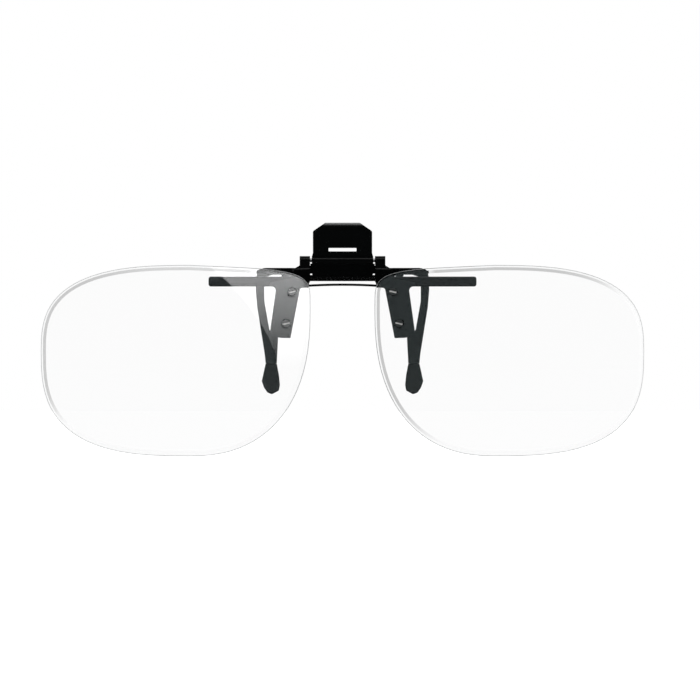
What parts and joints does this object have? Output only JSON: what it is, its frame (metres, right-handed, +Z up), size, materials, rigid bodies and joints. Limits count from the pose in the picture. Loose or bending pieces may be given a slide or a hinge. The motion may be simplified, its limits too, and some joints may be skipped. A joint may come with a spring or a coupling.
{
  "type": "clip-on glasses",
  "caption": "Rimless flip-up clip-on glasses: clear lenses screwed to hinged brackets over a sprung clamp with sleeved arms and padded fingers",
  "frame": {"origin": "on the middle plane, where the spectacle lens meets the rear of the arm sleeves, at the arms' height", "axes": "+X across the face towards the right of the picture, +Y from the front to the wearer, +Z up"},
  "size_m": [0.1254, 0.01, 0.0484],
  "materials": {
    "black_paint": "satin",
    "black_rubber": "satin",
    "dark_steel": "satin",
    "clear_lens": "gloss",
    "clear_plastic": "gloss"
  },
  "bodies": {
    "front": {"front_jaw": "black_paint", "left_arm_sleeve": "black_rubber", "right_arm_sleeve": "black_rubber", "flip_pin": "dark_steel", "jaw_pin": "dark_steel", "jaw_spring": "dark_steel"},
    "rear": {"rear_jaw": "black_paint", "left_finger_pad": "black_rubber", "right_finger_pad": "black_rubber"},
    "lenses": {"left_bracket": "black_paint", "right_bracket": "black_paint", "bow_wire": "black_paint", "left_lens": "clear_lens", "right_lens": "clear_lens", "left_upper_screw": "dark_steel", "left_lower_screw": "dark_steel", "right_upper_screw": "dark_steel", "right_lower_screw": "dark_steel", "left_upper_bush": "clear_plastic", "left_lower_bush": "clear_plastic", "right_upper_bush": "clear_plastic", "right_lower_bush": "clear_plastic", "left_upper_nut": "dark_steel", "left_lower_nut": "dark_steel", "right_upper_nut": "dark_steel", "right_lower_nut": "dark_steel"}
  },
  "joints": [
    {"name": "clamp_squeeze", "type": "hinge", "parent": "front", "child": "rear", "pos_m": [0, 0.00075, 0.00115], "axis": [1, 0, 0], "range_deg": [0, 20], "stiffness_Nm_per_rad": 0.03, "springref_deg": -28.65, "deforming": ["jaw_spring"]},
    {"name": "lens_flip", "type": "hinge", "parent": "front", "child": "lenses", "pos_m": [0, -0.00104, 0.00455], "axis": [-1, 0, 0], "range_deg": [0, 100]}
  ]
}
